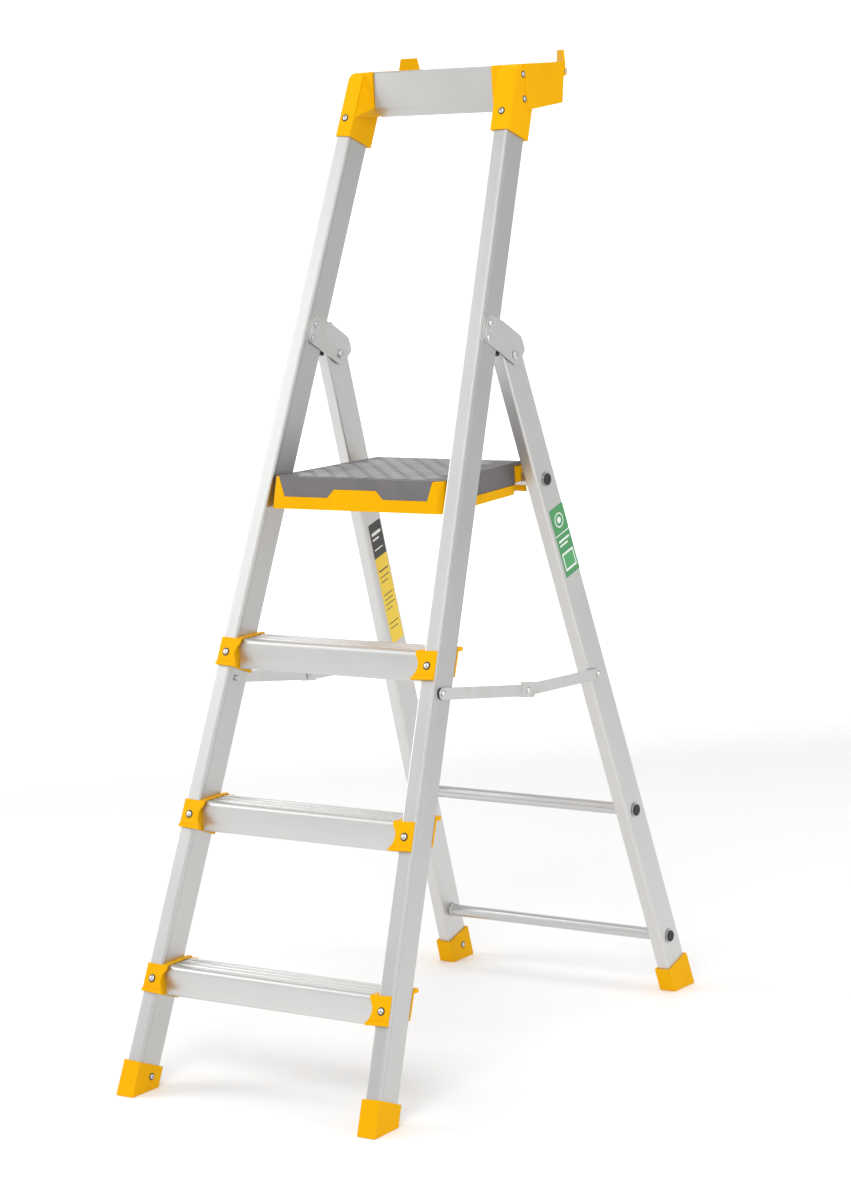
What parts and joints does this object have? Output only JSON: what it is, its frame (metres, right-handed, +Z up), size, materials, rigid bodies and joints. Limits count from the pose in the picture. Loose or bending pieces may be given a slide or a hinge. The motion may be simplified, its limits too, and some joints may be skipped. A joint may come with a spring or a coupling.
{
  "type": "step ladder",
  "caption": "Folding platform step ladder: stiles with box treads, a hinged rear frame with cross tubes, a lift-up platform, side spreader bars and a tool tray across the top.",
  "frame": {"origin": "on the floor, in the middle of the open ladder's footprint", "axes": "+Z up; +X across the ladder, to the right of someone who faces the steps from behind the foot line; +Y from the climbing side to the supporting rear frame"},
  "size_m": [0.4854, 0.8951, 1.5195],
  "materials": {
    "aluminium": "satin extruded",
    "tread_aluminium": "satin extruded",
    "yellow_plastic": "moulded, fine texture",
    "grey_pad": "matt, anti-slip",
    "black_plastic": "matt",
    "zinc_steel": "zinc plated",
    "plate_steel": "zinc plated, dull"
  },
  "bodies": {
    "front_frame": {"step_1": "tread_aluminium", "step_2": "tread_aluminium", "step_3": "tread_aluminium", "crossbar_tray": "aluminium", "right_stile": "aluminium", "right_front_foot": "yellow_plastic", "right_front_foot_screw": "zinc_steel", "right_top_bracket": "yellow_plastic", "right_hinge_plate_outer": "plate_steel", "right_hinge_plate_inner": "plate_steel", "right_hinge_rivet_1": "zinc_steel", "right_hinge_rivet_2": "zinc_steel", "right_pivot_bolt": "zinc_steel", "right_platform_pivot": "zinc_steel", "right_spreader_front_rivet": "zinc_steel", "right_step_socket_1": "yellow_plastic", "right_step_socket_2": "yellow_plastic", "right_step_socket_3": "yellow_plastic", "right_step_bolt_1": "zinc_steel", "right_step_bolt_2": "zinc_steel", "right_step_bolt_3": "zinc_steel", "left_stile": "aluminium", "left_front_foot": "yellow_plastic", "left_front_foot_screw": "zinc_steel", "left_top_bracket": "yellow_plastic", "left_hinge_plate_outer": "plate_steel", "left_hinge_plate_inner": "plate_steel", "left_hinge_rivet_1": "zinc_steel", "left_hinge_rivet_2": "zinc_steel", "left_pivot_bolt": "zinc_steel", "left_platform_pivot": "zinc_steel", "left_spreader_front_rivet": "zinc_steel", "left_step_socket_1": "yellow_plastic", "left_step_socket_2": "yellow_plastic", "left_step_socket_3": "yellow_plastic", "left_step_bolt_1": "zinc_steel", "left_step_bolt_2": "zinc_steel", "left_step_bolt_3": "zinc_steel", "right_hinge_spacer": "black_plastic", "left_hinge_spacer": "black_plastic"},
    "rear_frame": {"upper_cross_tube": "aluminium", "middle_cross_tube": "aluminium", "lower_cross_tube": "aluminium", "right_rear_leg": "aluminium", "right_rear_foot": "yellow_plastic", "right_rear_foot_screw": "zinc_steel", "left_rear_leg": "aluminium", "left_rear_foot": "yellow_plastic", "left_rear_foot_screw": "zinc_steel"},
    "platform": {"platform_tray": "yellow_plastic", "platform_pad": "grey_pad"},
    "right_spreader_front": {"right_spreader_front_bar": "plate_steel", "right_spreader_knee_rivet": "zinc_steel"},
    "right_spreader_rear": {"right_spreader_rear_bar": "plate_steel", "right_spreader_rear_rivet": "zinc_steel"},
    "left_spreader_front": {"left_spreader_front_bar": "plate_steel", "left_spreader_knee_rivet": "zinc_steel"},
    "left_spreader_rear": {"left_spreader_rear_bar": "plate_steel", "left_spreader_rear_rivet": "zinc_steel"}
  },
  "joints": [
    {"name": "rear_fold", "type": "hinge", "parent": "front_frame", "child": "rear_frame", "pos_m": [0, 0.099, 1.0667], "axis": [-1, 0, 0], "range_deg": [0, 39.1]},
    {"name": "platform_fold", "type": "hinge", "parent": "front_frame", "child": "platform", "pos_m": [0, -0.05661, 0.872], "axis": [1, 0, 0], "range_deg": [0, 67.5]},
    {"name": "right_spreader_fold", "type": "hinge", "parent": "front_frame", "child": "right_spreader_front", "pos_m": [0.2082, -0.1743, 0.595], "axis": [1, 0, 0], "range_deg": [0, 53]},
    {"name": "right_knee", "type": "hinge", "parent": "right_spreader_front", "child": "right_spreader_rear", "pos_m": [0.2053, 0.0452, 0.56], "axis": [-1, 0, 0], "range_deg": [0, 170]},
    {"name": "left_spreader_fold", "type": "hinge", "parent": "front_frame", "child": "left_spreader_front", "pos_m": [-0.2082, -0.1743, 0.595], "axis": [1, 0, 0], "range_deg": [0, 53]},
    {"name": "left_knee", "type": "hinge", "parent": "left_spreader_front", "child": "left_spreader_rear", "pos_m": [-0.2053, 0.0452, 0.56], "axis": [-1, 0, 0], "range_deg": [0, 170]}
  ],
  "couplings": [
    {"joint": "platform_fold", "follows": "rear_fold", "ratio": 1.725},
    {"joint": "right_spreader_fold", "follows": "rear_fold", "ratio": 1.349},
    {"joint": "right_knee", "follows": "rear_fold", "ratio": 4.333},
    {"joint": "left_spreader_fold", "follows": "rear_fold", "ratio": 1.349},
    {"joint": "left_knee", "follows": "rear_fold", "ratio": 4.333}
  ]
}
